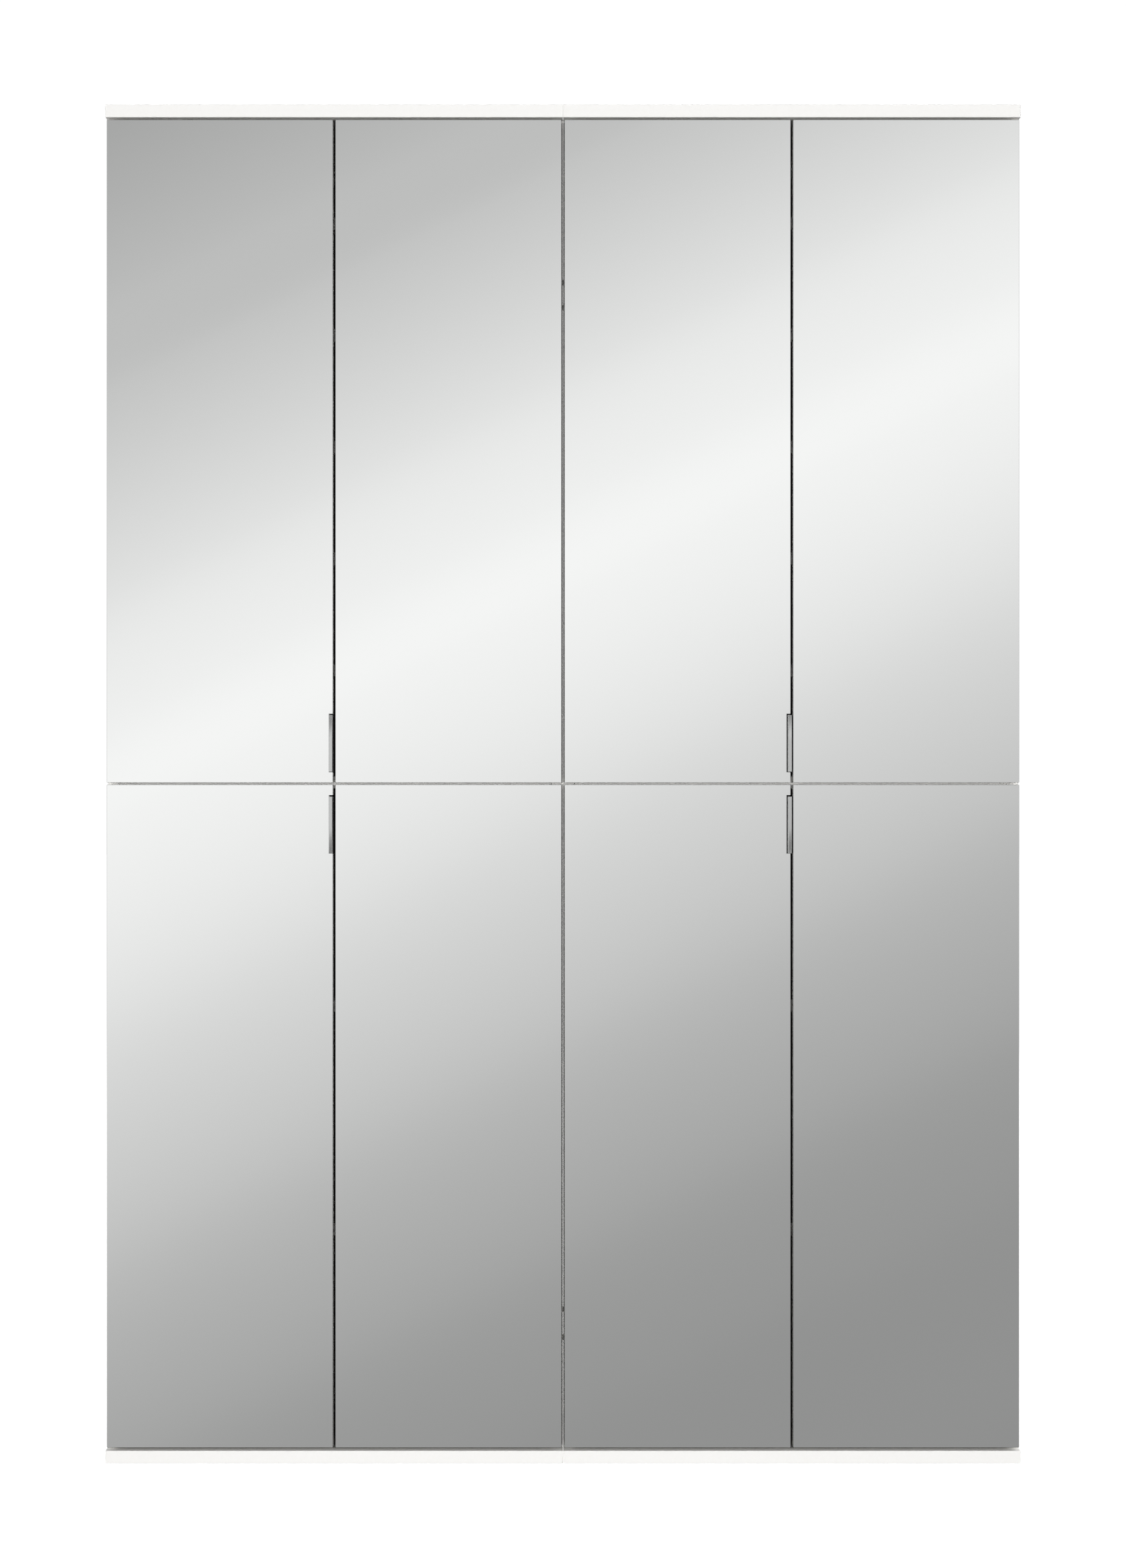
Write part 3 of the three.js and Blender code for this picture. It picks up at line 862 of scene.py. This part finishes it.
    def hinge_cup(self, place, z):
        """Pressed cup: a flange around the bore, the convex outline of three discs, with
        two screws, and a dish let into the door with a flat floor."""
        centre = self.cup_centre(z)
        wing, lip = 24 * MM, 0.8 * MM
        discs = [((0, 0), 19.5 * MM), ((-5.5 * MM, wing), 6.5 * MM), ((-5.5 * MM, -wing), 6.5 * MM)]
        outline = hull_of_discs(discs, 72)
        piece = Piece()
        dish = CUP_RADIUS - 1.2 * MM
        bore = [((0, 0), dish, lip)]
        start, axes = centre + 0.05 * MM * Y, (self.inward, Z, Y)
        piece.slab(outline, lip, start, axes, 0.25 * MM, bore, ONE_METAL)
        wall = 0.6 * MM
        bowl = [
            [0.4 * MM, dish + wall], [-9 * MM, dish + wall - 0.4 * MM], [-10.6 * MM, dish - 1.5 * MM],
            [-10 * MM, dish - 2 * MM], [-8.6 * MM, dish - 0.8 * MM], [0.4 * MM, dish - 0.1 * MM],
        ]
        piece.turned(bowl, centre, Y, around=40, tube=True)
        floor_y = centre - 9.8 * MM * Y
        piece.turned([[0, dish - 1.4 * MM], [0.5 * MM, dish - 1.6 * MM]], floor_y, Y, around=40)
        for sign in (-1, 1):
            at = centre - 5.5 * MM * self.inward + sign * wing * Z + lip * Y
            screw_head(piece, at, Y, radius=3.4 * MM, height=1.1 * MM, paint=1)
        piece.build(f"{self.name}_{place}_hinge_cup", [NICKEL, ZINC], self.name)

    def hinge_arm(self, place, z):
        """Arm and mounting plate: seen from above the arm is a pressing whose nose slopes
        away from the door, whose back carries two adjusting screws, and whose tail slopes
        down to the plate. The plate is an upright oval with two screws."""
        low, high = box(f"{self.name}_hinge_arm")
        face = low[0] - 0.3 * MM if self.has_handle else high[0] + 0.3 * MM
        rise, nose_y, length = high[0] - low[0] + 0.3 * MM, low[1], high[1] - low[1]
        gap, tail = 2.4 * MM, 9 * MM
        outline = [
            [gap, 13 * MM], [rise * 0.42, 0], [rise, 0], [rise, length * 0.55],
            [rise * 0.86, length - tail], [rise * 0.54, length], [gap, length],
        ]
        start = np.array([face, nose_y, z - 7 * MM])
        piece = Piece()
        axes = (self.inward, Y, Z)
        piece.slab(rounded(outline, 1.6 * MM), 14 * MM, start, axes, 1 * MM, paint=ONE_METAL)
        plate = hull_of_discs([((0, -15.5 * MM), 7.5 * MM), ((0, 15.5 * MM), 7.5 * MM)], 48)
        plate_y = nose_y + 37 * MM
        at = np.array([face, plate_y, z])
        start, axes = at + 0.3 * MM * self.inward, (Y, Z, self.inward)
        piece.slab(plate, 2 * MM, start, axes, 0.4 * MM, paint=ONE_METAL)
        for sign in (-1, 1):
            head = at + 2.2 * MM * self.inward + sign * 15.5 * MM * Z
            screw_head(piece, head, self.inward, radius=3.3 * MM, height=1.3 * MM, paint=1)
        for distance in (22 * MM, 40 * MM):
            head = np.array([face, nose_y + distance, z]) + (rise - 0.9 * MM) * self.inward
            screw_head(piece, head, self.inward, radius=2.9 * MM, height=0.9 * MM, paint=1)
        replaced = [f"{self.name}_hinge_arm"] if place == "top" else []
        paints = [NICKEL, ZINC]
        piece.build(f"{self.name}_{place}_arm_finished", paints, "carcass", replaced)

    def hinge_link(self, place, z):
        """Folded pair of links: two straps that leave the arm's nose, curve into the cup
        and end on its floor."""
        low, high = box(f"{self.name}_hinge_arm")
        rise = (high[0] - low[0]) * 0.72
        face = low[0] if self.has_handle else high[0]
        nose = np.array([face, low[1] + 3 * MM, z]) + rise * self.inward
        pit = self.cup_centre(z) - 7.5 * MM * Y + 4 * MM * self.inward
        s = np.linspace(0, 1, 15)[:, None]
        knee = np.array([nose[0], pit[1], z]) - 1 * MM * self.inward
        path = (1 - s) ** 2 * nose + 2 * s * (1 - s) * knee + s ** 2 * pit
        piece = Piece()
        for sign in (-1, 1):
            piece.ribbon(path + sign * 4.2 * MM * Z, 4.4 * MM, 1.8 * MM, Z)
        link = piece.build(f"{self.name}_{place}_hinge_link", [NICKEL])
        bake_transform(link)


# ---------------------------------------------------------------- assembly

for side in SIDES:
    for board in ("top_board", "base_board", "middle_shelf"):
        flat_board(f"{side}_{board}")
    for number in LOOSE_SHELVES:
        flat_board(f"{side}_shelf_{number}")
    for which in ("outer", "inner"):
        drilled_side(side, which)
    shelf_pins(side)
    cam_covers(side)
    back_panel(side)
    wall_bracket(side)
for number in range(1, 5):
    unit_connector(number)
    for level in LEVELS:
        door = Door(number, level)
        door.panel()
        door.mirror()
        door.bumper()
        if door.has_handle:
            door.handle()
        for place, z in zip(("bottom", "top"), door.hinge_heights()):
            door.hinge_cup(place, z)
            door.hinge_arm(place, z)
            door.hinge_link(place, z)


# ---------------------------------------------------------------- stage, light and camera

CAMERA_DISTANCE = 4.5  # from the front edges of the boards
HEIGHT_SHARE = 0.8667  # share of the picture's height that the armoire fills
SENSOR = 36.0
CARD_DISTANCE = 9.0
CARD_SPAN = 60.0
WORLD_LIGHT = 0.28

board_low, board_high = box("left_top_board")
front_y = board_low[1]
tall = board_high[2]
mirror_y = box("door_1_upper_mirror")[0][1]
eye_height = tall / 2


def bare_material(name):
    """A new material with an empty node tree."""
    material = bpy.data.materials.new(name)
    material.use_nodes = True
    material.node_tree.nodes.clear()
    return material


def glow(material, colour, strength):
    """Ends the node tree of a material with light of the given colour."""
    tree = material.node_tree
    light = add(tree, "ShaderNodeEmission", {"Color": colour, "Strength": strength})
    add(tree, "ShaderNodeOutputMaterial", {"Surface": light.outputs["Emission"]})


def stage_piece(name, points, faces, material):
    """A piece of the studio around the armoire."""
    mesh = bpy.data.meshes.new(name)
    mesh.from_pydata(points.reshape(-1, 3).tolist(), [], faces)
    mesh.materials.append(material)
    made = placed(name, mesh)
    return made


def seen_only_by(stage_object, camera=False, glossy=False):
    """Limits what kind of light ray meets a stage piece."""
    stage_object.visible_camera = camera
    stage_object.visible_glossy = glossy
    stage_object.visible_diffuse = False
    stage_object.visible_transmission = False
    stage_object.visible_volume_scatter = False
    stage_object.visible_shadow = False


def graded_card():
    """Studio card that the mirrors reflect: a soft ridge of light that runs diagonally,
    brighter above and left of the middle and falling away on both sides. Distances on
    the card are divided by its magnification, so stops are metres on the mirrors."""
    material = bare_material("graded_card_light")
    tree = material.node_tree
    mirrored_eye = 2 * mirror_y - front_y + CAMERA_DISTANCE
    magnified = (mirrored_eye + CARD_DISTANCE) / (mirrored_eye - mirror_y)
    slope, first, last = 0.49, -1.30, 3.90
    stops = [
        (-1.30, "#a4a4a4"), (-1.02, "#bababa"), (-0.875, "#c4c4c4"), (-0.58, "#e2e2e2"),
        (-0.40, "#f0f0f0"), (-0.27, "#f3f3f3"), (0.04, "#dddddd"), (0.36, "#bebebe"),
        (0.66, "#a3a3a3"), (0.92, "#949494"), (1.30, "#8d8d8d"), (1.90, "#707070"),
        (2.60, "#e0e0e0"), (3.34, "#6a6a6a"), (3.90, "#a4a4a4"),
    ]
    place = add(tree, "ShaderNodeTexCoord").outputs["Object"]
    parts = add(tree, "ShaderNodeSeparateXYZ", {"Vector": place})
    drop = {0: parts.outputs["Z"], 1: -1 / magnified, 2: eye_height / magnified}
    upwards = add(tree, "ShaderNodeMath", drop, operation="MULTIPLY_ADD")
    slant = {0: parts.outputs["X"], 1: slope / magnified, 2: upwards.outputs[0]}
    along = add(tree, "ShaderNodeMath", slant, operation="MULTIPLY_ADD")
    wrapped = add(tree, "ShaderNodeMath", {0: along.outputs[0], 1: last, 2: first}, operation="WRAP")
    span = {"Value": wrapped.outputs[0], "From Min": first, "From Max": last}
    share = add(tree, "ShaderNodeMapRange", span)
    ramp = add(tree, "ShaderNodeValToRGB", {"Fac": share.outputs["Result"]})
    ramp.color_ramp.interpolation = "CARDINAL"
    points = ramp.color_ramp.elements
    while len(points) < len(stops):
        points.new(0.5)
    for point, (distance, grey) in zip(points, stops):
        point.position = (distance - first) / (last - first)
        point.color = linear(grey)
    glow(material, ramp.outputs["Color"], 1 / linear(MIRROR_TINT)[1])
    corners = np.array([[-1, 0, -1], [-1, 0, 1], [1, 0, 1], [1, 0, -1]]) * CARD_SPAN / 2
    corners += [0, -CARD_DISTANCE, eye_height]
    card = stage_piece("graded_card", corners, [(0, 1, 2, 3)], material)
    seen_only_by(card, glossy=True)


def white_surround():
    """White studio surround behind everything: a sphere seen only by the camera, its
    points R (cos a cos b, sin a cos b, sin b)."""
    a, b = np.meshgrid(np.linspace(0, 2 * np.pi, 48, endpoint=False), np.linspace(-1.56, 1.56, 25))
    points = 40 * np.stack([np.cos(a) * np.cos(b), np.sin(a) * np.cos(b), np.sin(b)], -1)
    material = bare_material("white_surround_light")
    glow(material, linear("#ffffff"), 1.02)
    surround = stage_piece("white_surround", points, ring_quads(25, 48), material)
    seen_only_by(surround, camera=True)


def pale_floor():
    """Plain pale floor disc that glows a little, so it is nearly shadowless."""
    material, _, shader, _ = blank("pale_studio_floor")
    fill(shader, {"Base Color": linear("#a0a0a0"), "Roughness": 0.9})
    fill(shader, {"Emission Color": linear("#ffffff"), "Emission Strength": 1.0})
    points = 39 * np.concatenate([circle((0, 0), 1.0, 96), np.zeros((96, 1))], -1)
    floor = stage_piece("studio_floor", points, [list(range(96))], material)
    floor.visible_glossy = False
    floor.visible_diffuse = False


def soft_light(name, place, target, size, watts):
    """Square soft box aimed at a point, not itself mirrored."""
    data = bpy.data.lights.new(name, "AREA")
    data.size, data.energy = size, watts
    lamp = placed(name, data)
    lamp.location = place
    aim = unit(np.subtract(target, place))
    pitch = math.acos(-aim[2])
    lamp.rotation_euler = (pitch, 0, math.atan2(aim[1], aim[0]) - math.pi / 2)
    lamp.visible_glossy = False


graded_card()
white_surround()
pale_floor()
for side in SIDES.values():
    key_place = (side * 3.4, -6.6, 1.25)
    soft_light(f"front_key_{side}", key_place, (0, 0, 1.0), 2.2, 197 - 12 * side)
soft_light("floor_bounce", (0, -2.2, 0.9), (0, 0, 0), 1.6, 8)
for side in SIDES.values():
    fill_place, fill_target = (side * 5.5, 1.6, 2.6), (side * 0.65, 0, 1.0)
    soft_light(f"side_fill_{side}", fill_place, fill_target, 3.0, 150 + 40 * side)
soft_light("rear_fill", (1.5, 6.0, 3.2), (0, 0.2, 1.0), 3.0, 190)
soft_light("top_fill", (0, 1.5, 5.5), (0, 0.2, 1.9), 3.0, 90)

world = bpy.data.worlds.new("studio")
world.use_nodes = True
fill(world.node_tree.nodes["Background"], {"Color": (WORLD_LIGHT, WORLD_LIGHT, WORLD_LIGHT, 1)})
bpy.context.scene.world = world
bpy.context.scene.view_settings.view_transform = "Standard"

camera_data = bpy.data.cameras.new("camera")
camera_data.sensor_width = SENSOR
camera_data.lens = SENSOR * CAMERA_DISTANCE * HEIGHT_SHARE / tall
camera = placed("camera", camera_data)
camera.location = (0, front_y - CAMERA_DISTANCE, eye_height)
camera.rotation_euler = (math.pi / 2, 0, 0)
bpy.context.scene.camera = camera
